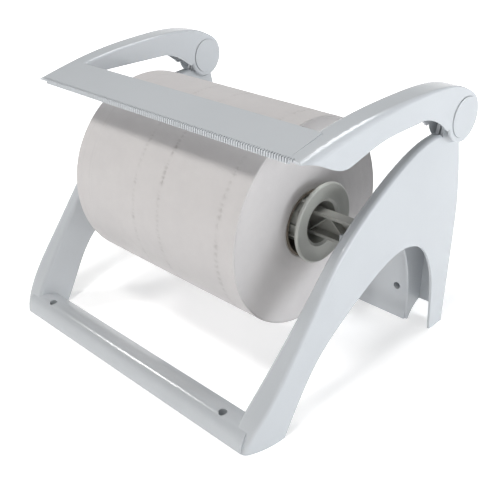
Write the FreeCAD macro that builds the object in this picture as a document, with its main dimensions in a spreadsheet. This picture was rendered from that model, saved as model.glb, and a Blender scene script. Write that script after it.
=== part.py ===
import FreeCAD, Part
import math
import os
from FreeCAD import Vector, Placement, Rotation

# Paper roll dispenser: two arched side frames joined by a front crossbar and a rear wall plate,
# a spindle with two flanged hubs that carries the roll, and a hinged bail with a serrated tear bar.
# X runs across the roll, -Y is the front, +Z is up. The origin is on the table, under the middle
# of the holder. The left half is the mirror image of the right half.

doc = FreeCAD.newDocument("paper_roll_holder")

# ---------------------------------------------------------------- driving dimensions (mm)
DIMENSIONS = [
    # whole holder
    ("front_edge", -172.0), ("rear_plane", 172.0), ("wall_thickness", 3.0),
    # roll and its cardboard core
    ("roll_radius", 115.0), ("roll_length", 257.0), ("roll_axis_y", -5.0), ("roll_axis_z", 172.0),
    ("core_bore_radius", 34.5), ("core_wall", 2.5),
    # spindle and hubs
    ("spindle_rise", 6.0), ("spindle_half_length", 186.5), ("spindle_width", 13.0), ("spindle_height", 27.0),
    ("spindle_flange", 3.5), ("journal_radius", 17.0), ("hub_flange_radius", 44.0), ("hub_flange_hole", 26.0),
    ("hub_flange_mid", 145.0), ("hub_nose", 96.0), ("hub_bore_gap", 0.05), ("hang_gap", 0.3),
    ("rib_count", 12.0), ("rib_thickness", 2.6),
    # side frames
    ("side_outer", 203.0), ("side_outer_top", 200.5), ("side_inner", 188.0), ("foot_inner", 173.0),
    ("rear_leg_inner", 168.0), ("edge_radius", 4.5),
    # hinge of the bail
    ("pivot_y", 144.5), ("pivot_z", 271.0), ("knuckle_radius", 27.5), ("knuckle_clearance", 2.0),
    ("pin_radius", 5.0), ("pin_running_gap", 0.05), ("ear_radius", 17.0), ("ear_thickness", 3.6),
    ("cap_radius", 22.0), ("cap_proud", 1.2), ("cap_recess", 1.0),
    # bail
    ("arm_outer", 211.5), ("arm_width", 28.0), ("arm_wall", 2.6), ("toe_in_degrees", 1.9),
    ("inner_crown", 3.5), ("outer_crown", 11.0), ("knuckle_crown", 1.5), ("crown_wall", 6.5),
    ("plate_front_y", -108.0), ("plate_front_z", 287.0), ("plate_rear_y", -62.0), ("plate_rear_z", 299.0),
    ("plate_thickness", 3.0), ("lip_depth", 5.0), ("tooth_pitch", 3.1), ("tooth_count", 122.0),
    ("tooth_gap", 1.3), ("tooth_length", 3.0), ("plate_end", 184.0),
    # crossbars
    ("crossbar_end", 187.7), ("screw_hole_x", 150.0), ("front_hole_y", -158.5), ("rear_hole_z", 39.0),
    ("head_hole_radius", 4.6), ("screw_hole_radius", 2.6), ("boss_radius", 7.2), ("rear_bar_height", 118.0),
    ("rear_bar_face", 147.0), ("rear_bar_toe", 141.0), ("lug_face_y", 158.0), ("join_screw_x", 160.0),
    ("front_join_x", 165.0), ("front_lug_z", 8.0), ("join_hole_radius", 2.2), ("join_screw_radius", 1.75),
    ("join_head_radius", 3.6), ("lift_travel", 14.0), ("stop_radius", 22.5),
]

sheet = doc.addObject("Spreadsheet::Sheet", "Dimensions")
for row, (alias, value) in enumerate(DIMENSIONS, start=1):
    sheet.set("A%d" % row, alias)
    sheet.set("B%d" % row, str(value))
    sheet.setAlias("B%d" % row, alias)
doc.recompute()


def dim(alias):
    """Value of one driving dimension."""
    return float(sheet.get(alias))


# ---------------------------------------------------------------- small helpers
def bind(obj, **expressions):
    """Bind properties of obj to formulas over the sheet's cells, each cell written as $alias."""
    for prop, formula in expressions.items():
        text = formula.replace("$", "Dimensions.")
        obj.setExpression(prop.replace("__", "."), text)


def place(obj, x="0", y="0", z="0", rotation=None):
    """Placement bound to formulas over the sheet's cells."""
    if rotation is not None:
        obj.Placement = Placement(Vector(0, 0, 0), rotation)
    bind(obj, Placement__Base__x=x, Placement__Base__y=y, Placement__Base__z=z)


ALONG_X = Rotation(Vector(0, 1, 0), 90)
nodes = []


def node(obj, name):
    """Mark obj as a finished sub-part."""
    obj.Label = name
    nodes.append(obj)
    return obj


def feature(shape, name, placement=Placement()):
    """A sub-part whose free-form shape no parametric object makes."""
    obj = doc.addObject("Part::Feature", name)
    obj.Shape = shape
    obj.Placement = placement
    return node(obj, name)


def cylinder(name, radius, height):
    obj = doc.addObject("Part::Cylinder", name)
    bind(obj, Radius=radius, Height=height)
    return obj


def fuse(name, parts):
    obj = doc.addObject("Part::MultiFuse", name)
    obj.Shapes = parts
    return obj


def cut(name, base, tool):
    obj = doc.addObject("Part::Cut", name)
    obj.Base = base
    obj.Tool = tool
    return obj


def yz(points, x=0.0):
    return [Vector(x, y, z) for y, z in points]


def curve(points, start=None, end=None):
    """Smooth edge through points."""
    spline = Part.BSplineCurve()
    if start is not None and end is not None:
        spline.interpolate(Points=points, InitialTangent=start, FinalTangent=end)
    else:
        spline.interpolate(Points=points)
    return spline.toShape()


def chain(*pieces):
    """Closed face from edges and from corner points joined by straight lines."""
    edges = []
    first = None
    last = None
    for piece in pieces:
        start = piece.valueAt(piece.FirstParameter) if isinstance(piece, Part.Edge) else piece
        if last is not None and last.distanceToPoint(start) > 1e-6:
            edges.append(Part.makeLine(last, start))
        if isinstance(piece, Part.Edge):
            edges.append(piece)
            last = piece.valueAt(piece.LastParameter)
        else:
            last = start
        if first is None:
            first = start
    if last.distanceToPoint(first) > 1e-6:
        edges.append(Part.makeLine(last, first))
    return Part.Face(Part.Wire(edges))


def slab(face, direction):
    return face.extrude(direction)


def mirrored(shape):
    return shape.mirror(Vector(0, 0, 0), Vector(1, 0, 0))


def x_cylinder(radius, x0, x1, y, z):
    return Part.makeCylinder(radius, x1 - x0, Vector(x0, y, z), Vector(1, 0, 0))


def middle_of(edge):
    return edge.valueAt((edge.FirstParameter + edge.LastParameter) / 2)


def fillet_where(shape, radius, wanted):
    """Round the edges whose midpoint passes the test."""
    edges = [edge for edge in shape.Edges if wanted(middle_of(edge), edge)]
    return shape.makeFillet(radius, edges)


PIVOT = Vector(0, dim("pivot_y"), dim("pivot_z"))
REAR_SCREW_HEIGHTS = [62.0, 98.0]
WALL = dim("wall_thickness")
FAR = 400.0
FIRST_EAR = dim("side_inner") + 3.2
SECOND_EAR = dim("side_outer_top") - dim("ear_thickness")


def around_pivot(x, radius, degrees):
    """Point at a radius and an angle from +Y towards +Z about the hinge."""
    angle = math.radians(degrees)
    return Vector(x, PIVOT.y + radius * math.cos(angle), PIVOT.z + radius * math.sin(angle))


def ring_sector(x0, x1, inner, outer, start, end):
    """Part of a ring about the hinge between two angles."""
    middle = (start + end) / 2
    rim = Part.Arc(around_pivot(x0, outer, start), around_pivot(x0, outer, middle),
                   around_pivot(x0, outer, end)).toShape()
    back = Part.Arc(around_pivot(x0, inner, end), around_pivot(x0, inner, middle),
                    around_pivot(x0, inner, start)).toShape()
    return slab(chain(rim, back), Vector(x1 - x0, 0, 0))


# ---------------------------------------------------------------- crossbars
FRONT_BAR_OUTSIDE = [(-172, 0), (-170.5, 12), (-166, 19.5), (-160, 23.3), (-152, 23.0), (-138, 17.5)]
FRONT_BAR_INSIDE = [(-138, 14.4), (-152.4, 20.0), (-159.3, 20.3), (-163.8, 17.3), (-167.6, 11), (-169, 0)]


def front_bar_face(hollow):
    """Section of the front crossbar: rounded nose, top sloping back, open below when hollow."""
    outside = curve(yz(FRONT_BAR_OUTSIDE), Vector(0, 0, 1), Vector(0, 14, -6.5))
    if not hollow:
        return chain(outside, Vector(0, -138, 0))
    return chain(outside, curve(yz(FRONT_BAR_INSIDE), Vector(0, -14, 6.5), Vector(0, 0, -1)))


def bar_with_bosses(face, half_length, bosses, holes, name):
    """Channel of one section with screw bosses, its screw holes bored through."""
    half = slab(face, Vector(half_length, 0, 0))
    bar = half.fuse(mirrored(half)).removeSplitter()
    for boss in bosses:
        bar = bar.fuse([boss, mirrored(boss)])
    for hole in holes:
        bar = bar.cut(hole).cut(mirrored(hole))
    return feature(bar.removeSplitter(), name)


def front_crossbar():
    face = front_bar_face(True)
    hole_x = dim("screw_hole_x")
    hole_y = dim("front_hole_y")
    room = slab(front_bar_face(False), Vector(dim("crossbar_end"), 0, 0))
    screw_boss = Part.makeCylinder(dim("boss_radius"), 30, Vector(hole_x, hole_y, 0)).common(room)
    head_hole = Part.makeCylinder(dim("head_hole_radius"), 40, Vector(hole_x, hole_y, 5))
    screw_hole = Part.makeCylinder(dim("screw_hole_radius"), 40, Vector(hole_x, hole_y, -5))
    lug_top = dim("front_lug_z") + WALL
    join_boss = Part.makeCylinder(5.0, 30, Vector(dim("front_join_x"), -154, lug_top)).common(room)
    pilot = Part.makeCylinder(dim("join_screw_radius"), 6.0, Vector(dim("front_join_x"), -154, lug_top))
    holes = [head_hole, screw_hole, pilot]
    return bar_with_bosses(face, dim("crossbar_end"), [screw_boss, join_boss], holes, "front_crossbar")


def rear_crossbar():
    face_y = dim("rear_bar_face")
    top = dim("rear_bar_height")
    rear = dim("rear_plane")
    toe = curve(yz([(dim("rear_bar_toe"), 0), (143, 12), (face_y, 30)]), Vector(0, 0, 1), Vector(0, 0, 1))
    toe_back = curve(yz([(face_y + WALL, 30), (146, 12), (dim("rear_bar_toe") + WALL, 0)]),
                     Vector(0, 0, -1), Vector(0, 0, -1))
    face = chain(toe, Vector(0, face_y, top - 4), Vector(0, face_y + 4, top), Vector(0, rear, top),
                 Vector(0, rear, top - WALL), Vector(0, face_y + 6, top - WALL),
                 Vector(0, face_y + WALL, top - 6), toe_back)
    along_y = Vector(0, 1, 0)
    place_of_hole = Vector(dim("screw_hole_x"), face_y + 0.5, dim("rear_hole_z"))
    depth = rear - face_y
    boss = Part.makeCylinder(dim("boss_radius"), depth - 0.5, place_of_hole, along_y)
    head_hole = Part.makeCylinder(dim("head_hole_radius"), depth - 4, place_of_hole - along_y, along_y)
    screw_hole = Part.makeCylinder(dim("screw_hole_radius"), depth + 10, place_of_hole - along_y, along_y)
    bosses = [boss]
    holes = [head_hole, screw_hole]
    lug_y = dim("lug_face_y")
    for z in REAR_SCREW_HEIGHTS:
        boss_start = Vector(dim("join_screw_x"), face_y + 1, z)
        pilot_start = Vector(dim("join_screw_x"), lug_y - 6, z)
        bosses.append(Part.makeCylinder(5.0, lug_y - face_y - 1, boss_start, along_y))
        holes.append(Part.makeCylinder(dim("join_screw_radius"), 6.0, pilot_start, along_y))
    return bar_with_bosses(face, dim("rear_leg_inner"), bosses, holes, "rear_crossbar")


# ---------------------------------------------------------------- side frames
# Outline of the front and upper edge, from the toe to the shoulder under the hinge.
FRONT_OUTLINE = [(-171.4, 0), (-165.4, 18), (-153, 38), (-123, 78), (-91, 120), (-49, 171.5), (21, 223),
                 (84, 251.5), (111, 256)]
# Arch between the legs, from the rear leg's toe over to the front leg's toe.
ARCH_OUTLINE = [(144, 0), (139, 47), (127, 95), (99, 130), (63, 140.5), (23, 131.5), (-34, 101), (-71, 75),
                (-101, 38), (-124, 0)]


def moved(points, dy, dz):
    return [(y + dy, z + dz) for y, z in points]


def side_prism(inset, arch):
    """Side view of the frame as a slab along X; inset draws it in by the wall thickness."""
    front = moved(FRONT_OUTLINE, inset * 1.1, -inset * 0.55)
    rear = dim("rear_plane") - inset
    top_z = 250.0 - inset
    edge = curve(yz(front))
    corners = [Vector(0, rear - 16, top_z), Vector(0, rear - 12, 232), Vector(0, rear - 4, 190),
               Vector(0, rear, 140)]
    back = curve(corners)
    if arch:
        arch_edge = curve(yz(ARCH_OUTLINE))
        face = chain(edge, back, Vector(0, rear, 0), arch_edge)
    else:
        toe = Vector(0, front[0][0], -20)
        heel = Vector(0, rear, -20)
        face = chain(toe, edge, back, heel)
    return slab(face, Vector(FAR, 0, 0))


def outer_taper(inset):
    """Outer face seen from the front: straight below, drawn in a little towards the hinge."""
    outer = dim("side_outer") - inset
    outer_top = dim("side_outer_top") - inset
    return curve([Vector(outer, 0, 120), Vector(outer - 0.6, 0, 180), Vector(outer_top, 0, 260)],
                 Vector(0, 0, 1), Vector(-0.05, 0, 1))


def width_prism(inset):
    """Front view of the main wall: its outer face is drawn in at the shoulder and its foot flares inwards."""
    outer = dim("side_outer") - inset
    inner = dim("side_inner") + inset
    foot = dim("foot_inner") + inset
    outside = outer_taper(inset)
    inside = curve([Vector(inner, 0, 165), Vector(inner - 4.5, 0, 100), Vector(inner - 10.5, 0, 50),
                    Vector(foot, 0, 8)], Vector(0, 0, -1), Vector(0, 0, -1))
    face = chain(Vector(outer, 0, -20), outside, Vector(inner + 2, 0, 260), inside, Vector(foot, 0, -20))
    return slab(face, Vector(0, 2 * FAR, 0)).translated(Vector(0, -FAR, 0))


def plan_prism(inset):
    """Plan view: the toe of the front leg is rounded outwards."""
    outer = dim("side_outer") - inset
    front = dim("front_edge") + inset
    toe = curve([Vector(outer, -122, 0), Vector(outer - 2.3, -148, 0), Vector(outer - 7.5, -164, 0),
                 Vector(outer - 15, front, 0)], Vector(0, -1, 0), Vector(-1, -0.25, 0))
    face = chain(Vector(FAR, 250, 0), Vector(FAR, -122, 0), toe, Vector(0, front, 0), Vector(0, 250, 0))
    return slab(face, Vector(0, 0, 2 * FAR)).translated(Vector(0, 0, -FAR))


def rear_leg_prism(inset):
    """Front view of the rear leg, which is wider than the wall above it."""
    outer = dim("side_outer") - inset
    inner = dim("rear_leg_inner") + inset
    shoulder = curve([Vector(dim("side_inner") + inset + 1, 0, 190 - inset), Vector(inner + 4, 0, 152 - inset),
                      Vector(inner, 0, 120 - inset)])
    face = chain(Vector(outer, 0, -20), Vector(outer, 0, 190 - inset), shoulder, Vector(inner, 0, -20))
    leg = slab(face, Vector(0, 2 * FAR, 0)).translated(Vector(0, -FAR, 0))
    limit = chain(Vector(outer, 0, -20), outer_taper(inset), Vector(inner, 0, 260), Vector(inner, 0, -20))
    return leg.common(slab(limit, Vector(0, 2 * FAR, 0)).translated(Vector(0, -FAR, 0)))


def half_space(y0, y1, z0, z1):
    return Part.makeBox(FAR, y1 - y0, z1 - z0, Vector(0, y0, z0))


def ear(x0):
    """Flat hinge ear that rises inside the arm of the bail."""
    eye_left = dim("pivot_y") - dim("ear_radius")
    eye_right = dim("pivot_y") + dim("ear_radius")
    arc = Part.Arc(Vector(x0, eye_right, PIVOT.z), Vector(x0, PIVOT.y, PIVOT.z + dim("ear_radius")),
                   Vector(x0, eye_left, PIVOT.z)).toShape()
    face = chain(Vector(x0, dim("rear_plane") - 15, 228), arc, Vector(x0, 121, 240), Vector(x0, 116, 228))
    blade = slab(face, Vector(dim("ear_thickness"), 0, 0))
    # the tooth on top of the eye holds the bail up at rest
    return blade.fuse(ring_sector(x0, x0 + dim("ear_thickness"), 12.0, dim("stop_radius"), 54.5, 78.0))


def cradle():
    """U-shaped seat on the inside wall that the flat spindle end drops into from above."""
    half_gap = dim("spindle_width") / 2 + 0.6
    half_block = half_gap + 4
    axis_y = dim("roll_axis_y")
    seat_z = dim("roll_axis_z") + dim("spindle_rise") - dim("spindle_height") / 2 - 0.1
    depth = 13.0
    x0 = dim("side_inner") - depth + 1
    bottom_z = seat_z - 5
    block = Part.makeBox(depth, 2 * half_block, dim("lift_travel") + 5, Vector(x0, axis_y - half_block, bottom_z))
    block = fillet_where(block, 3.0, lambda p, e: abs(p.z - bottom_z) < 0.01 and abs(p.y - axis_y) > half_gap)
    return block.cut(Part.makeBox(depth, 2 * half_gap, 60, Vector(x0 - 0.01, axis_y - half_gap, seat_z)))


def rear_lug():
    """Tab behind the wall plate that its two screws pass through."""
    face_y = dim("lug_face_y")
    x0 = dim("join_screw_x") - 7
    tab = Part.makeBox(dim("rear_leg_inner") + 1 - x0, WALL, 58, Vector(x0, face_y, 51))
    for z in REAR_SCREW_HEIGHTS:
        start = Vector(dim("join_screw_x"), face_y - 5, z)
        tab = tab.cut(Part.makeCylinder(dim("join_hole_radius"), 20, start, Vector(0, 1, 0)))
    return tab


def front_lug():
    """Tab inside the front crossbar that its screw passes through from below."""
    x0 = dim("front_join_x") - 7
    tab = Part.makeBox(dim("side_outer") - x0, 14, WALL, Vector(x0, -161, dim("front_lug_z")))
    hole = Part.makeCylinder(dim("join_hole_radius"), 20, Vector(dim("front_join_x"), -154, 0))
    return tab.common(plan_prism(0.5)).cut(hole)


def right_side_frame():
    prism = side_prism(0.0, True)
    wall = prism.common(width_prism(0.0)).common(plan_prism(0.0))
    wall = fillet_where(wall, dim("edge_radius"), front_edge_test)
    rear_leg = prism.common(rear_leg_prism(0.0)).common(half_space(95, 200, -1, 300))
    body = wall.fuse(rear_leg)
    hollow = side_prism(WALL, False)
    main_hollow = hollow.common(width_prism(WALL)).common(plan_prism(WALL))
    leg_hollow = hollow.common(rear_leg_prism(WALL)).common(half_space(90, 200, -30, 300))
    body = body.cut(main_hollow).cut(leg_hollow)
    # the knuckle of the bail turns in this pocket
    pocket = x_cylinder(dim("knuckle_radius") + dim("knuckle_clearance"), 150, 250, PIVOT.y, PIVOT.z)
    body = body.cut(pocket)
    # the rear leg's inner and back walls end above the table
    notch_arc = Part.Arc(Vector(0, 146.5, 0), Vector(0, 155, 12), Vector(0, 168, 20)).toShape()
    notch_face = chain(notch_arc, Vector(0, 180, 20), Vector(0, 180, -5), Vector(0, 146.5, -5))
    notch = slab(notch_face, Vector(dim("side_outer") - WALL - 150, 0, 0)).translated(Vector(150, 0, 0))
    body = body.cut(notch)
    # the front crossbar enters the foot through its inner side
    crossbar_room = slab(front_bar_face(False), Vector(dim("crossbar_end") + 0.1, 0, 0))
    body = body.cut(crossbar_room)
    body = body.fuse([ear(FIRST_EAR), ear(SECOND_EAR), cradle(), rear_lug(), front_lug()])
    bore = x_cylinder(dim("pin_radius") + dim("pin_running_gap"), 150, 250, PIVOT.y, PIVOT.z)
    return body.cut(bore).removeSplitter()


def front_edge_test(p, edge):
    """True for the long edges along the front and upper side of the wall."""
    on_front = p.y < 110 and p.z > 3 and edge.Length > 60
    over_arch = arch_height(p.y) + 12 < p.z or p.y < -110
    return on_front and over_arch


def arch_height(y):
    """Height of the arch over a point between the legs."""
    points = sorted(ARCH_OUTLINE)
    if y <= points[0][0] or y >= points[-1][0]:
        return 0.0
    for (y0, z0), (y1, z1) in zip(points, points[1:]):
        if y0 <= y <= y1:
            return z0 + (z1 - z0) * (y - y0) / (y1 - y0)


side = right_side_frame()
feature(side, "right_side_frame")
feature(mirrored(side), "left_side_frame")
front_crossbar()
rear_crossbar()


# ---------------------------------------------------------------- bail: two arms and the tear bar, one moulding
ARM_TOP = [(-108, 287), (-75, 294.8), (-45, 301), (-15, 305.5), (15, 308.5), (45, 310.4), (95, 311.2),
           (115, 309.6), (134, 305.8)]
ARM_CUTOUT = [(110, 266), (90, 278.3), (68, 284.3)]
ARM_SKIRT = [(44, 283), (5, 280), (-16, 275.5), (-35, 270), (-49.5, 266.5), (-63, 268.5), (-77, 274.5),
             (-108, 284.5)]
# Angles about the hinge where the crown runs into the round knuckle and where its rim ends.
CROWN_END = 62.0
RIM_REAR_END = 45.0


def arm_top_edge(x, inset, front_inset=0.0):
    """Crown of the arm, running tangent into the round knuckle; it is drawn in more in front of the hinge."""
    end = around_pivot(x, dim("knuckle_radius") - inset, CROWN_END)
    radius_line = end - Vector(x, PIVOT.y, PIVOT.z)
    tangent = Vector(0, radius_line.z, -radius_line.y)
    front_drop = max(inset, front_inset)
    points = [(y, z - (front_drop if y < 50 else inset)) for y, z in ARM_TOP]
    return curve(yz(points, x) + [end], Vector(0, 33, 8), tangent)


def arm_face(x):
    """Side of the arm before its underside is shaped."""
    radius = dim("knuckle_radius")
    rim = Part.Arc(around_pivot(x, radius, CROWN_END), around_pivot(x, radius, -40),
                   around_pivot(x, radius, -165)).toShape()
    return chain(arm_top_edge(x, 0.0), rim, Vector(x, 90, 255), Vector(x, -108, 255))


def below_arm(x0, width):
    """Everything under the arm's lower edge: a concave cut-out at the knuckle, then the skirt."""
    corner = around_pivot(x0, dim("knuckle_radius"), -132)
    cutout = curve([corner] + yz(ARM_CUTOUT, x0))
    skirt = curve(yz([ARM_CUTOUT[-1]] + ARM_SKIRT, x0))
    face = chain(cutout, skirt, Vector(x0, -140, 284.5), Vector(x0, -140, 200), Vector(x0, corner.y, 200))
    return slab(face, Vector(width, 0, 0))


def arm_hollow(x0, width):
    """Space inside the arm, open below and open behind the neck of the side frame."""
    wall = dim("arm_wall")
    inside = dim("knuckle_radius") - wall
    rim = Part.Arc(around_pivot(x0, inside, CROWN_END), around_pivot(x0, inside, (CROWN_END + RIM_REAR_END) / 2),
                   around_pivot(x0, inside, RIM_REAR_END)).toShape()
    crown = arm_top_edge(x0, wall, dim("crown_wall"))
    face = chain(crown, rim, around_pivot(x0, 50, RIM_REAR_END), Vector(x0, 220, 220), Vector(x0, -108, 220))
    behind_tip = Part.makeBox(width, 300, 200, Vector(x0, -75, 200))
    return slab(face, Vector(width, 0, 0)).common(behind_tip)


def right_arm():
    outer = dim("arm_outer")
    width = dim("arm_width")
    wall = dim("arm_wall")
    inner = outer - width
    arm = slab(arm_face(inner), Vector(width, 0, 0))
    inner_edges = [e for e in arm.Edges if e.Length > 90 and middle_of(e).x < inner + 1 and middle_of(e).z > 295]
    arm = arm.makeFillet(dim("inner_crown"), inner_edges)
    outer_edges = [e for e in arm.Edges if e.Length > 90 and middle_of(e).x > outer - 1 and middle_of(e).z > 295]
    arm = arm.makeFillet(dim("outer_crown"), dim("knuckle_crown"), outer_edges)
    arm = arm.cut(below_arm(inner - 1, width + 2))
    arm = arm.cut(arm_hollow(inner + wall, width - 2 * wall))
    # the rim turns inwards at its rear end and rests on the teeth of the ears
    arm = arm.fuse(ring_sector(inner + 1, outer - 1, 20.5, dim("knuckle_radius") - 1, RIM_REAR_END, 53.5))
    # the inner side is shallower than the outer skirt
    cutout_end_y, cutout_end_z = ARM_CUTOUT[-1]
    below = Part.makeBox(wall + 6, cutout_end_y + 100, 40, Vector(inner - 3, -100, cutout_end_z - 40))
    arm = arm.cut(below)
    recess_radius = dim("cap_radius") + 0.5
    for x0 in (inner - 5, outer - dim("cap_recess")):
        arm = arm.cut(x_cylinder(recess_radius, x0, x0 + 5 + dim("cap_recess"), PIVOT.y, PIVOT.z))
    arm.rotate(Vector(outer - width / 2, PIVOT.y, 0), Vector(0, 0, 1), -dim("toe_in_degrees"))
    return arm


def tear_plate():
    """Sloping plate between the arms with a lip in front and a stiffening flange behind."""
    front = Vector(0, dim("plate_front_y"), dim("plate_front_z"))
    rear = Vector(0, dim("plate_rear_y"), dim("plate_rear_z"))
    thick = Vector(0, 0, -dim("plate_thickness"))
    lip = Vector(0, 0, -dim("lip_depth"))
    face = chain(front, rear, rear + Vector(0, 0, -9), rear + Vector(0, -2.5, -9.5), rear + Vector(0, -2.5, -4),
                 front + Vector(0, 3.5, 0) + thick, front + Vector(0, 3.0, 0) + lip, front + lip)
    return slab(face, Vector(dim("plate_end"), 0, 0))


def tear_bail():
    half = right_arm().fuse(tear_plate())
    bail = half.fuse(mirrored(half))
    pitch = dim("tooth_pitch")
    count = int(dim("tooth_count"))
    gaps = []
    for index in range(count + 1):
        x = (index - count / 2) * pitch - dim("tooth_gap") / 2
        gaps.append(Part.makeBox(dim("tooth_gap"), dim("tooth_length") + 5, 20,
                                 Vector(x, dim("plate_front_y") - 5, dim("plate_front_z") - 12)))
    bail = bail.cut(Part.makeCompound(gaps))
    # bosses reach in from the arm walls to the ears, and the pins press into them
    inner = dim("arm_outer") - dim("arm_width")
    inner_boss = x_cylinder(9.0, inner + 1.6, FIRST_EAR - 0.5, PIVOT.y, PIVOT.z)
    outer_boss = x_cylinder(9.0, SECOND_EAR + dim("ear_thickness") + 0.5, dim("arm_outer") - 1.6, PIVOT.y, PIVOT.z)
    for boss in (inner_boss, outer_boss):
        bail = bail.fuse([boss, mirrored(boss)])
    bore = x_cylinder(dim("pin_radius"), inner - 5, dim("arm_outer") + 5, PIVOT.y, PIVOT.z)
    bail = bail.cut(bore).cut(mirrored(bore))
    return feature(bail, "tear_bail")


tear_bail()


def hinge_pin(side_name, sign):
    inner = "$arm_outer - $arm_width + 1.4"
    pin = cylinder(side_name + "_hinge_pin_rod", "$pin_radius", "$arm_width - 2.8")
    chamfer = doc.addObject("Part::Chamfer", side_name + "_hinge_pin")
    chamfer.Base = pin
    chamfer.Edges = [(1, 0.6, 0.6), (3, 0.6, 0.6)]
    start = inner if sign > 0 else "-($arm_outer - 1.4)"
    place(chamfer, x=start, y="$pivot_y", z="$pivot_z", rotation=ALONG_X)
    return node(chamfer, side_name + "_hinge_pin")


def hinge_cap(side_name, where, sign):
    """Round cap let into the face of the arm, standing slightly proud."""
    name = "%s_%s_hinge_cap" % (side_name, where)
    disc = cylinder(name + "_disc", "$cap_radius", "$cap_recess + $cap_proud")
    cap = doc.addObject("Part::Fillet", name)
    cap.Base = disc
    cap.Edges = [(3, 0.9, 0.9)]
    facing = sign if where == "outer" else -sign
    half = dim("arm_width") / 2
    turn = Rotation(Vector(0, 0, 1), -sign * dim("toe_in_degrees"))
    centre = Vector(sign * (dim("arm_outer") - half), PIVOT.y, PIVOT.z)
    proud_face = turn.multVec(Vector(facing * (half + dim("cap_proud")), 0, 0))
    cap.Placement = Placement(centre + proud_face, turn.multiply(Rotation(Vector(0, 0, 1), Vector(-facing, 0, 0))))
    return node(cap, name)


for side_name, sign in (("right", 1), ("left", -1)):
    hinge_pin(side_name, sign)
    for where in ("outer", "inner"):
        hinge_cap(side_name, where, sign)


# ---------------------------------------------------------------- roll and core
def tube(name, outer, inner):
    outside = cylinder(name + "_outside", outer, "$roll_length")
    inside = cylinder(name + "_inside", inner, "$roll_length")
    ring = cut(name, outside, inside)
    place(ring, x="-$roll_length / 2", y="$roll_axis_y", z="$roll_axis_z", rotation=ALONG_X)
    return node(ring, name)


tube("paper_roll", "$roll_radius", "$core_bore_radius + $core_wall")
tube("cardboard_core", "$core_bore_radius + $core_wall", "$core_bore_radius")


# ---------------------------------------------------------------- spindle
SPINDLE_AXIS_Z = "$roll_axis_z + $spindle_rise"


def box(name, length, width, height, x, y, z):
    obj = doc.addObject("Part::Box", name)
    bind(obj, Length=length, Width=width, Height=height)
    place(obj, x=x, y=y, z=z)
    return obj


def spindle():
    """Channel beam, open to the front, with a round journal for each hub."""
    low = SPINDLE_AXIS_Z + " - $spindle_height / 2"
    parts = [
        box("spindle_web", "2 * $spindle_half_length", "3", "$spindle_height", "-$spindle_half_length",
            "$roll_axis_y + $spindle_width / 2 - 3", low),
        box("spindle_top", "2 * $spindle_half_length", "$spindle_width", "$spindle_flange", "-$spindle_half_length",
            "$roll_axis_y - $spindle_width / 2", low + " + $spindle_height - $spindle_flange"),
        box("spindle_bottom", "2 * $spindle_half_length", "$spindle_width", "$spindle_flange",
            "-$spindle_half_length", "$roll_axis_y - $spindle_width / 2", low),
    ]
    for sign, tag in ((1, "right"), (-1, "left")):
        end_x = "$spindle_half_length - 3" if sign > 0 else "-$spindle_half_length"
        parts.append(box("spindle_end_" + tag, "3", "$spindle_width", "$spindle_height", end_x,
                         "$roll_axis_y - $spindle_width / 2", low))
        journal = cylinder("spindle_journal_" + tag, "$journal_radius", "11")
        place(journal, x="$hub_nose" if sign > 0 else "-$hub_nose - 11", y="$roll_axis_y", z=SPINDLE_AXIS_Z,
              rotation=ALONG_X)
        collar = cylinder("spindle_collar_" + tag, "$journal_radius + 3", "3")
        place(collar, x="$hub_nose - 3.1" if sign > 0 else "-$hub_nose + 0.1", y="$roll_axis_y", z=SPINDLE_AXIS_Z,
              rotation=ALONG_X)
        parts += [journal, collar]
    beam = fuse("spindle_beam", parts)
    ribs = doc.addObject("Part::Feature", "spindle_ribs")
    ribs.Shape = diagonal_ribs()
    return node(fuse("spindle", [beam, ribs]), "spindle")


def diagonal_ribs():
    """Thin slanting ribs that brace the channel's pocket, leaning both ways in turn."""
    half = dim("spindle_height") / 2 - dim("spindle_flange") / 2
    middle_z = dim("roll_axis_z") + dim("spindle_rise")
    front_y = dim("roll_axis_y") - dim("spindle_width") / 2 + 1
    count = 14
    step = 2 * (dim("spindle_half_length") - 3) / count
    ribs = []
    for index in range(count):
        x0 = -dim("spindle_half_length") + 3 + index * step
        lean = half if index % 2 == 0 else -half
        low = Vector(x0, front_y, middle_z - lean)
        high = Vector(x0 + step, front_y, middle_z + lean)
        across = Vector(0, 0, 0.8)
        face = chain(low - across, high - across, high + across, low + across)
        ribs.append(slab(face, Vector(0, dim("spindle_width") - 3, 0)))
    room = Part.makeBox(2 * dim("spindle_half_length"), 30, dim("spindle_height"),
                        Vector(-dim("spindle_half_length"), front_y - 10, middle_z - dim("spindle_height") / 2))
    return ribs[0].fuse(ribs[1:]).common(room)


spindle()


# ---------------------------------------------------------------- hubs
def hub_profile():
    """Half section of a hub, radius against distance along its axis from the nose."""
    mid = dim("hub_flange_mid") - dim("hub_nose")
    rim = dim("hub_flange_radius")
    hole = dim("hub_flange_hole")
    bore = dim("journal_radius") + dim("hub_bore_gap")
    lip_top = Vector(rim - 2, 0, mid + 3)
    lip = Part.Arc(lip_top, Vector(rim, 0, mid + 0.5), Vector(rim - 1.5, 0, mid - 1.5)).toShape()
    dish = curve([Vector(hole, 0, mid + 1), Vector((hole + rim) / 2 - 2, 0, mid + 0.4), lip_top])
    return chain(Vector(bore, 0, 0), Vector(bore, 0, 10), Vector(bore + 2.5, 0, 10), Vector(bore + 2.5, 0, 3),
                 Vector(23, 0, 3), Vector(23, 0, mid - 1), dish, lip,
                 Vector(25.6, 0, mid - 2.5), Vector(25.6, 0, 1.5), Vector(24.1, 0, 0))


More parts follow.
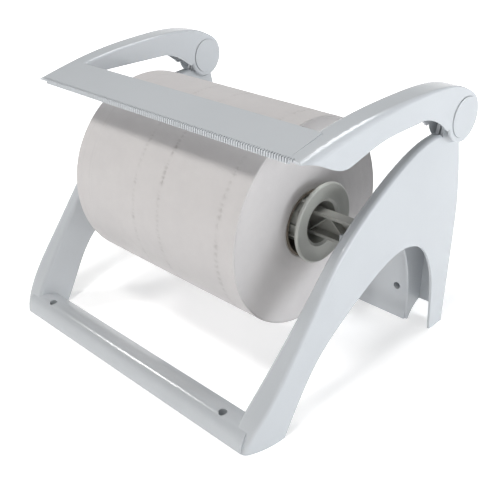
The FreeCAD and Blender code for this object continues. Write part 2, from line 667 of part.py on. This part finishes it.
def hub(side_name, sign):
    barrel = hub_profile().revolve(Vector(0, 0, 0), Vector(0, 0, 1), 360)
    grip = dim("core_bore_radius") - dim("spindle_rise") - dim("hang_gap")
    mid = dim("hub_flange_mid") - dim("hub_nose")
    half = dim("rib_thickness") / 2
    rib_face = chain(Vector(25, -half, 2), Vector(grip - 2, -half, 2), Vector(grip, -half, 8),
                     Vector(grip, -half, mid - 13), Vector(grip + 4, -half, mid - 8),
                     Vector(grip + 4, -half, mid - 2), Vector(25, -half, mid - 2))
    rib = slab(rib_face, Vector(0, dim("rib_thickness"), 0))
    ribs = []
    for index in range(int(dim("rib_count"))):
        copy = rib.copy()
        copy.rotate(Vector(0, 0, 0), Vector(0, 0, 1), index * 360.0 / dim("rib_count"))
        ribs.append(copy)
    shape = barrel.fuse(ribs).removeSplitter()
    nose = Vector(sign * dim("hub_nose"), dim("roll_axis_y"), dim("roll_axis_z") + dim("spindle_rise"))
    outwards = Rotation(Vector(0, 0, 1), Vector(sign, 0, 0))
    return feature(shape, side_name + "_hub", Placement(nose, outwards))


def hub_clip(side_name, sign):
    """Snap ring that keeps the hub on its journal."""
    name = side_name + "_hub_clip"
    ring = cylinder(name + "_disc", "$journal_radius + 2.2", "1.8")
    room = box(name + "_slot", "1.8", "$spindle_width", "$spindle_height", "0", "-$spindle_width / 2",
               "-$spindle_height / 2")
    ring.Placement = Placement(Vector(0, 0, 0), ALONG_X)
    clip = cut(name, ring, room)
    start = "$hub_nose + 11.1" if sign > 0 else "-$hub_nose - 12.9"
    place(clip, x=start, y="$roll_axis_y", z=SPINDLE_AXIS_Z)
    return node(clip, name)


for side_name, sign in (("right", 1), ("left", -1)):
    hub(side_name, sign)
    hub_clip(side_name, sign)


# ---------------------------------------------------------------- screws that join the crossbars to the side frames
def pan_screw(name, position, direction):
    """Pan-head screw: the head's seat is at position and the shank points along direction."""
    turn = Rotation(Vector(0, 0, 1), direction)
    shank = cylinder(name + "_shank", "$join_screw_radius", "$wall_thickness + 5.5")
    head = doc.addObject("Part::Cone", name + "_head")
    bind(head, Radius1="$join_head_radius - 0.9", Radius2="$join_head_radius", Height="2.4")
    head.Placement = Placement(Vector(0, 0, -2.4), Rotation())
    drive = cylinder(name + "_drive", "1.3", "1.2")
    drive.Placement = Placement(Vector(0, 0, -2.4), Rotation())
    screw = cut(name, fuse(name + "_solid", [shank, head]), drive)
    screw.Placement = Placement(position, turn)
    return screw


rear_screws = []
front_screws = []
for side_name, sign in (("right", 1), ("left", -1)):
    for index, z in enumerate(REAR_SCREW_HEIGHTS):
        seat = Vector(sign * dim("join_screw_x"), dim("lug_face_y") + WALL, z)
        rear_screws.append(pan_screw("rear_screw_%s_%d" % (side_name, index + 1), seat, Vector(0, -1, 0)))
    seat = Vector(sign * dim("front_join_x"), -154, dim("front_lug_z"))
    front_screws.append(pan_screw("front_screw_" + side_name, seat, Vector(0, 0, 1)))


def group(name, members):
    obj = doc.addObject("Part::Compound", name)
    obj.Links = members
    return node(obj, name)


group("rear_crossbar_screws", rear_screws)
group("front_crossbar_screws", front_screws)

# ---------------------------------------------------------------- checks and export
doc.recompute()
faults = []
for obj in doc.Objects:
    if "Invalid" in obj.State or "Error" in obj.State:
        faults.append("%s: %s" % (obj.Label, obj.State))
for item in nodes:
    if item.Shape.isNull() or not item.Shape.isValid() or not item.Shape.Solids:
        faults.append("%s: bad shape" % item.Label)
if faults:
    raise RuntimeError("; ".join(faults))

os.makedirs("parts", exist_ok=True)
for item in nodes:
    item.Shape.exportStep("parts/%s.step" % item.Label)
    print("%-24s solids %d  volume %.1f cm3" % (item.Label, len(item.Shape.Solids), item.Shape.Volume / 1000))
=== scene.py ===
import math

import bmesh
import bpy
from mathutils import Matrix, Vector, noise


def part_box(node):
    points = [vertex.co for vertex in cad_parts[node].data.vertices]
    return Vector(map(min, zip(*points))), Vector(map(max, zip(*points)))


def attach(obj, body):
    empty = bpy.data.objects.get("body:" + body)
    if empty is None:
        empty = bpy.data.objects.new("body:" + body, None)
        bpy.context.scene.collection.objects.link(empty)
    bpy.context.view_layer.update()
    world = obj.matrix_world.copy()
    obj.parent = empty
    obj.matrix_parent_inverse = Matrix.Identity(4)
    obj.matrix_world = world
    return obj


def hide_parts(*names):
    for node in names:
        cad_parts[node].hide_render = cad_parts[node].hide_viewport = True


# Paper towel holder: off-white moulded frame, hinged bail with a toothed tear bar, grey hubs and spindle,
# and a thick roll of white paper. Metres, +Z up, -Y is the front.

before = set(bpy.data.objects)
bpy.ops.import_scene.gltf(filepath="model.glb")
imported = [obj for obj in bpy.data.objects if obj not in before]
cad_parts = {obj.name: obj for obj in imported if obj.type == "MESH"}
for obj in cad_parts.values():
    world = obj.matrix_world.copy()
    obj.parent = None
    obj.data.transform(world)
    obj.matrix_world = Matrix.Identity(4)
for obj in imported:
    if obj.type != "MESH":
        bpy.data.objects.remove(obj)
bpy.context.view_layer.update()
scene = bpy.context.scene


# ---------------------------------------------------------------- shader helpers
class Shader:
    """A material's node tree, built one node at a time."""

    def __init__(self, name):
        self.material = bpy.data.materials.new(name)
        self.material.use_nodes = True
        self.tree = self.material.node_tree
        self.surface = self.tree.nodes["Principled BSDF"]
        self.coords = self.add("ShaderNodeTexCoord").outputs["Object"]

    def add(self, kind, **settings):
        node = self.tree.nodes.new(kind)
        for key, value in settings.items():
            if key in node.inputs:
                node.inputs[key].default_value = value
            else:
                setattr(node, key, value)
        return node

    def link(self, output, target):
        self.tree.links.new(output, target)

    def noise(self, scale, detail=3.0, roughness=0.5, stretch=None):
        node = self.add("ShaderNodeTexNoise", Scale=scale, Detail=detail, Roughness=roughness)
        source = self.coords
        if stretch is not None:
            mapping = self.add("ShaderNodeMapping")
            mapping.inputs["Scale"].default_value = stretch
            self.link(self.coords, mapping.inputs["Vector"])
            source = mapping.outputs["Vector"]
        self.link(source, node.inputs["Vector"])
        return node.outputs["Fac"]

    def ramp(self, value, low, high, start, end):
        """value, remapped from the range low..high to start..end."""
        node = self.add("ShaderNodeMapRange")
        node.clamp = True
        node.inputs["From Min"].default_value = low
        node.inputs["From Max"].default_value = high
        node.inputs["To Min"].default_value = start
        node.inputs["To Max"].default_value = end
        self.link(value, node.inputs["Value"])
        return node.outputs["Result"]

    def mix(self, factor, first, second):
        """Blend of two colours, each a tuple or an output."""
        node = self.add("ShaderNodeMix", data_type="RGBA")
        self.link(factor, node.inputs["Factor"])
        for socket, value in ((node.inputs[6], first), (node.inputs[7], second)):
            if isinstance(value, tuple):
                socket.default_value = (*value, 1.0)
            else:
                self.link(value, socket)
        return node.outputs[2]

    def math(self, operation, first, second):
        node = self.add("ShaderNodeMath", operation=operation)
        for socket, value in zip(node.inputs, (first, second)):
            if isinstance(value, (int, float)):
                socket.default_value = value
            else:
                self.link(value, socket)
        return node.outputs[0]

    def bump(self, height, distance, strength):
        node = self.add("ShaderNodeBump", Strength=strength, Distance=distance)
        self.link(height, node.inputs["Height"])
        return node.outputs["Normal"]

    def finish(self, colour, roughness, normal):
        self.link(colour, self.surface.inputs["Base Color"])
        self.link(roughness, self.surface.inputs["Roughness"])
        self.link(normal, self.surface.inputs["Normal"])
        return self.material


def moulded_plastic(name, colour, shade, rough_low, rough_high, grain=0.00006):
    """Injection-moulded plastic: faint flow clouds, dust specks and orange peel."""
    s = Shader(name)
    clouds = s.noise(9.0, 4.0, 0.6)
    base = s.mix(s.ramp(clouds, 0.35, 0.7, 0.0, 1.0), colour, shade)
    specks = s.ramp(s.noise(900.0, 1.0), 0.70, 0.78, 0.0, 0.35)
    base = s.mix(specks, base, tuple(c * 0.75 for c in shade))
    wipes = s.noise(22.0, 5.0, 0.65, stretch=(1.0, 3.0, 0.7))
    roughness = s.ramp(wipes, 0.3, 0.75, rough_low, rough_high)
    peel = s.noise(420.0, 2.0)
    fine = s.noise(2600.0, 1.0)
    height = s.math("ADD", peel, s.math("MULTIPLY", fine, 0.35))
    normal = s.bump(height, grain, 0.55)
    s.surface.inputs["IOR"].default_value = 1.53
    s.surface.inputs["Specular IOR Level"].default_value = 0.55
    return s.finish(base, roughness, normal)


def steel():
    s = Shader("screw_steel")
    brushed = s.noise(60.0, 3.0, 0.6, stretch=(1.0, 1.0, 14.0))
    base = s.mix(brushed, (0.50, 0.50, 0.49), (0.66, 0.66, 0.65))
    s.surface.inputs["Metallic"].default_value = 1.0
    roughness = s.ramp(s.noise(150.0, 3.0), 0.3, 0.7, 0.24, 0.42)
    return s.finish(base, roughness, s.bump(brushed, 0.00003, 0.6))


def cardboard():
    s = Shader("core_board")
    fibres = s.noise(120.0, 5.0, 0.7, stretch=(6.0, 1.0, 1.0))
    base = s.mix(s.ramp(fibres, 0.3, 0.7, 0.0, 1.0), (0.16, 0.135, 0.105), (0.24, 0.205, 0.165))
    specks = s.ramp(s.noise(700.0, 2.0), 0.62, 0.7, 0.0, 0.5)
    base = s.mix(specks, base, (0.10, 0.08, 0.06))
    roughness = s.ramp(fibres, 0.3, 0.7, 0.78, 0.95)
    height = s.math("ADD", fibres, s.math("MULTIPLY", s.noise(900.0, 3.0), 0.4))
    return s.finish(base, roughness, s.bump(height, 0.0003, 0.7))


def paper():
    """Creped tissue: fibre mottling, crepe lines along the roll, and painted shade that greys the pressed
    dots and creases, more where they are deeper.
    """
    s = Shader("tissue_paper")
    mottle = s.noise(46.0, 6.0, 0.7)
    base = s.mix(s.ramp(mottle, 0.3, 0.72, 0.0, 1.0), (0.585, 0.565, 0.56), (0.55, 0.53, 0.528))
    broad = s.noise(6.0, 3.0, 0.5, stretch=(1.6, 1.0, 1.0))
    base = s.mix(s.ramp(broad, 0.35, 0.7, 0.0, 0.5), base, (0.53, 0.512, 0.515))
    # painted shade: the paper is greyed in the pressed dots and creases by their depth, standing in for the
    # shade in these recesses
    pressed = s.add("ShaderNodeAttribute", attribute_name="pressed").outputs["Fac"]
    base = s.mix(pressed, base, (0.42, 0.40, 0.395))
    crepe = s.noise(900.0, 3.0, 0.6, stretch=(0.12, 1.0, 1.0))
    fibre = s.noise(1700.0, 4.0, 0.7)
    height = s.math("ADD", s.math("MULTIPLY", crepe, 0.8), fibre)
    roughness = s.ramp(mottle, 0.3, 0.7, 0.86, 0.98)
    s.surface.inputs["Specular IOR Level"].default_value = 0.18
    s.surface.inputs["Sheen Weight"].default_value = 0.25
    s.surface.inputs["Sheen Roughness"].default_value = 0.6
    return s.finish(base, roughness, s.bump(height, 0.00025, 0.6))


def floor_paint():
    """Pale floor that glows more far away from the object, so it stays white out to the horizon."""
    s = Shader("studio_floor")
    soft = s.noise(3.0, 3.0, 0.5)
    base = s.mix(soft, (0.93, 0.93, 0.93), (0.95, 0.95, 0.95))
    s.surface.inputs["Emission Color"].default_value = (1.0, 1.0, 1.0, 1.0)
    far = s.add("ShaderNodeVectorMath", operation="LENGTH")
    s.link(s.coords, far.inputs[0])
    s.link(s.ramp(far.outputs["Value"], 0.35, 1.6, 0.42, 1.0), s.surface.inputs["Emission Strength"])
    roughness = s.ramp(soft, 0.3, 0.7, 0.85, 0.95)
    return s.finish(base, roughness, s.bump(s.noise(40.0), 0.0002, 0.2))


# ---------------------------------------------------------------- a look for every CAD part
WHITE = (0.55, 0.575, 0.60)
WHITE_SHADE = (0.53, 0.555, 0.58)
frame_white = moulded_plastic("frame_plastic", WHITE, WHITE_SHADE, 0.11, 0.20)
cap_white = moulded_plastic("cap_plastic", (0.53, 0.555, 0.578), WHITE_SHADE, 0.18, 0.28)
hub_grey = moulded_plastic("hub_plastic", (0.43, 0.435, 0.405), (0.39, 0.395, 0.36), 0.30, 0.45, 0.00008)
spindle_grey = moulded_plastic("spindle_plastic", (0.36, 0.36, 0.335), (0.31, 0.31, 0.29), 0.36, 0.5, 0.00008)
screw_steel = steel()
core_board = cardboard()
tissue = paper()

LOOKS = {
    "right_side_frame": frame_white, "left_side_frame": frame_white,
    "front_crossbar": frame_white, "rear_crossbar": frame_white,
    "tear_bail": frame_white,
    "right_outer_hinge_cap": cap_white, "right_inner_hinge_cap": cap_white,
    "left_outer_hinge_cap": cap_white, "left_inner_hinge_cap": cap_white,
    "right_hub": hub_grey, "left_hub": hub_grey,
    "right_hub_clip": spindle_grey, "left_hub_clip": spindle_grey, "spindle": spindle_grey,
    "right_hinge_pin": screw_steel, "left_hinge_pin": screw_steel,
    "rear_crossbar_screws": screw_steel, "front_crossbar_screws": screw_steel,
    "cardboard_core": core_board, "paper_roll": tissue,
}


WELD_DISTANCE = 0.00001
CORNER_ANGLE = math.radians(28)


def even_shading(obj):
    """Join the seams between CAD faces, keep real corners sharp and let large faces steer the normals."""
    mesh = obj.data
    if "custom_normal" in mesh.attributes:
        mesh.attributes.remove(mesh.attributes["custom_normal"])
    for polygon in mesh.polygons:
        polygon.use_smooth = True
    weld = obj.modifiers.new("weld", "WELD")
    weld.merge_threshold = WELD_DISTANCE
    split = obj.modifiers.new("corners", "EDGE_SPLIT")
    split.split_angle = CORNER_ANGLE
    split.use_edge_sharp = False
    weighted = obj.modifiers.new("weighted", "WEIGHTED_NORMAL")
    weighted.weight = 100
    weighted.keep_sharp = True


for name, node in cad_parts.items():
    node.data.materials.clear()
    node.data.materials.append(LOOKS[name])
    even_shading(node)


# ---------------------------------------------------------------- paper roll
# Where the plies are pressed together: place along the roll, half width, dots round the roll (0 is a plain
# crease) and depth.
PRESSED_BANDS = (
    (-0.118, 0.0008, 0, 0.00012),
    (-0.1035, 0.0009, 0, 0.00016),
    (-0.0985, 0.0007, 0, 0.00010),
    (-0.024, 0.0021, 130, 0.00042),
    (0.016, 0.0023, 130, 0.00060),
    (0.104, 0.0026, 95, 0.00055),
)
SHADE_FULL_DEPTH = 0.0007      # depth at which the painted shade in the pressed dots is darkest
CORE_RADIUS = 0.0371
RIM_RADIUS = 0.0013
RIM_STEPS = 4
END_RINGS = 34
SIDE_COLUMNS = 330
TURN_STEPS = 720


def dimple(x, angle):
    """Depth of the pressed dots and creases that run round the roll, uneven along their length."""
    depth = 0.0
    for place, width, dots, deepest in PRESSED_BANDS:
        across = (x - place) / width
        if abs(across) > 3.0:
            continue
        wobble = noise.noise(Vector((place * 80, angle * 9, 1.0)))
        patch = noise.noise(Vector((x * 420, angle * 34, 7.0)))
        ripple = 1.0 if dots == 0 else 0.5 + 0.5 * math.cos(angle * dots + 5 * wobble + 3 * patch)
        depth += deepest * math.exp(-across * across) * ripple * max(0.0, 0.6 + wobble + 0.5 * patch)
    return depth


def side_height(x, angle):
    """Slow waves and fine wrinkles of the outer layer, always at or below the true radius."""
    wave = 0.00025 * (noise.noise(Vector((x * 9, math.cos(angle) * 2.2, math.sin(angle) * 2.2))) - 0.6)
    wrinkle = 0.0001 * (noise.noise(Vector((x * 60, angle * 14, 3.0))) - 0.6)
    return wave + wrinkle


def end_depth(x, r, angle):
    """How far the layer edges stand back from the flat end of the roll."""
    layer = noise.noise(Vector((r * 900, angle * 0.7, 5.0 if x > 0 else 9.0)))
    sag = noise.noise(Vector((math.cos(angle) * 1.4, math.sin(angle) * 1.4, r * 25)))
    return 0.00022 * (layer + 1) + 0.0003 * (sag + 1)


def roll_profile(half, radius):
    """Half section of the roll from one end's bore over the rim and the side to the other end's bore."""
    rim_start = radius - RIM_RADIUS
    left = []
    for index in range(END_RINGS + 1):
        left.append((-half, CORE_RADIUS + (rim_start - CORE_RADIUS) * index / END_RINGS, "end"))
    for step in range(1, RIM_STEPS + 1):
        turn = step / (RIM_STEPS + 1) * math.pi / 2
        drop = RIM_RADIUS * (1 - math.sin(turn))
        left.append((-half + RIM_RADIUS * (1 - math.cos(turn)), radius - drop, "rim"))
    side = []
    for index in range(SIDE_COLUMNS + 1):
        side.append((-half + RIM_RADIUS + 2 * (half - RIM_RADIUS) * index / SIDE_COLUMNS, radius, "side"))
    return left + side + [(-x, r, kind) for x, r, kind in reversed(left)]


def build_roll():
    """A wound roll: soft waves round it, pressed dots, rounded rims and uneven layer edges on its ends."""
    low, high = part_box("paper_roll")
    axis_y = (low.y + high.y) / 2
    axis_z = (low.z + high.z) / 2
    radius = (high.z - low.z) / 2 - 0.0002
    half = (high.x - low.x) / 2 - 0.0001
    bm = bmesh.new()
    pressed = bm.verts.layers.float.new("pressed")
    rows = []
    for x, r, kind in roll_profile(half, radius):
        row = []
        for k in range(TURN_STEPS):
            angle = 2 * math.pi * k / TURN_STEPS
            px, pr, press = x, r, 0.0
            if kind == "end":
                px -= math.copysign(end_depth(x, r, angle), x)
            else:
                press = dimple(x, angle)
                pr += side_height(x, angle) - press
            vertex = bm.verts.new((px, axis_y + pr * math.cos(angle), axis_z + pr * math.sin(angle)))
            # painted shade mask: the deeper the dot or crease, the greyer the paper
            vertex[pressed] = min(1.0, press / SHADE_FULL_DEPTH)
            row.append(vertex)
        rows.append(row)
    rows.append(rows[0])
    for first, second in zip(rows, rows[1:]):
        for k in range(TURN_STEPS):
            n = (k + 1) % TURN_STEPS
            bm.faces.new((first[k], first[n], second[n], second[k]))
    bmesh.ops.recalc_face_normals(bm, faces=bm.faces)
    mesh = bpy.data.meshes.new("paper_roll_wound")
    bm.to_mesh(mesh)
    bm.free()
    mesh.materials.append(tissue)
    for polygon in mesh.polygons:
        polygon.use_smooth = True
    roll = bpy.data.objects.new("paper_roll_wound", mesh)
    scene.collection.objects.link(roll)
    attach(roll, "roll")
    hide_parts("paper_roll")


build_roll()


# ---------------------------------------------------------------- floor, light, camera
FLOOR_HALF_SIZE = 30.0
FLOOR_GAP = 0.0004      # the floor lies just under the feet


def lay_floor():
    grid = bmesh.new()
    bmesh.ops.create_grid(grid, x_segments=16, y_segments=16, size=FLOOR_HALF_SIZE)
    mesh = bpy.data.meshes.new("floor")
    grid.to_mesh(mesh)
    grid.free()
    mesh.materials.append(floor_paint())
    floor = bpy.data.objects.new("floor", mesh)
    floor.location.z = -FLOOR_GAP
    scene.collection.objects.link(floor)


def light_world():
    """A pale studio wall all round that fades to a dim ceiling."""
    world = bpy.data.worlds.new("studio")
    scene.world = world
    world.use_nodes = True
    tree = world.node_tree
    heading = tree.nodes.new("ShaderNodeTexCoord")
    split = tree.nodes.new("ShaderNodeSeparateXYZ")
    fade = tree.nodes.new("ShaderNodeMapRange")
    for socket, value in (("From Min", 0.12), ("From Max", 0.38), ("To Min", 1.0), ("To Max", 0.1)):
        fade.inputs[socket].default_value = value
    tree.links.new(heading.outputs["Generated"], split.inputs[0])
    tree.links.new(split.outputs["Z"], fade.inputs["Value"])
    tree.links.new(fade.outputs["Result"], tree.nodes["Background"].inputs["Strength"])
    tree.nodes["Background"].inputs["Color"].default_value = (1.0, 1.0, 1.0, 1.0)


# name, position, height that it aims at, width and height, power, colour
LIGHTS = (
    ("window_right", (1.9, 0.4, 0.40), 0.16, (1.1, 0.6), 11, (0.90, 0.95, 1.0)),
    ("ceiling_front", (0.25, -0.85, 1.85), 0.15, (0.4, 0.3), 12, (1.0, 0.985, 0.96)),
    ("ceiling_back", (0.2, 0.9, 1.9), 0.1, (0.9, 0.6), 14, (0.97, 0.98, 1.0)),
    ("ceiling_left", (-1.3, -0.7, 1.5), 0.1, (0.36, 0.36), 9, (1.0, 0.99, 0.97)),
    ("lamp_front", (0.68, -1.5, 0.8), 0.1, (0.6, 0.12), 1.0, (1.0, 1.0, 1.0)),
)


def area_light(name, position, aim_height, size, power, colour):
    data = bpy.data.lights.new(name, "AREA")
    data.shape = "RECTANGLE"
    data.size = size[0]
    data.size_y = size[1]
    data.energy = power
    data.color = colour
    light = bpy.data.objects.new(name, data)
    light.location = position
    aim = Vector((0, 0, aim_height)) - Vector(position)
    light.rotation_euler = aim.to_track_quat("-Z", "Y").to_euler()
    scene.collection.objects.link(light)


CAMERA_PLACE = (0.5734, -0.5636, 0.5160)
CAMERA_AZIMUTH = 43.606
CAMERA_ELEVATION = 27.891


def set_camera():
    data = bpy.data.cameras.new("camera")
    data.sensor_width = 36.0
    data.lens = 53.87
    camera = bpy.data.objects.new("camera", data)
    camera.location = CAMERA_PLACE
    camera.rotation_euler = (math.radians(90 - CAMERA_ELEVATION), 0, math.radians(CAMERA_AZIMUTH))
    scene.collection.objects.link(camera)
    scene.camera = camera


lay_floor()
light_world()
for settings in LIGHTS:
    area_light(*settings)
set_camera()
scene.view_settings.view_transform = "Standard"
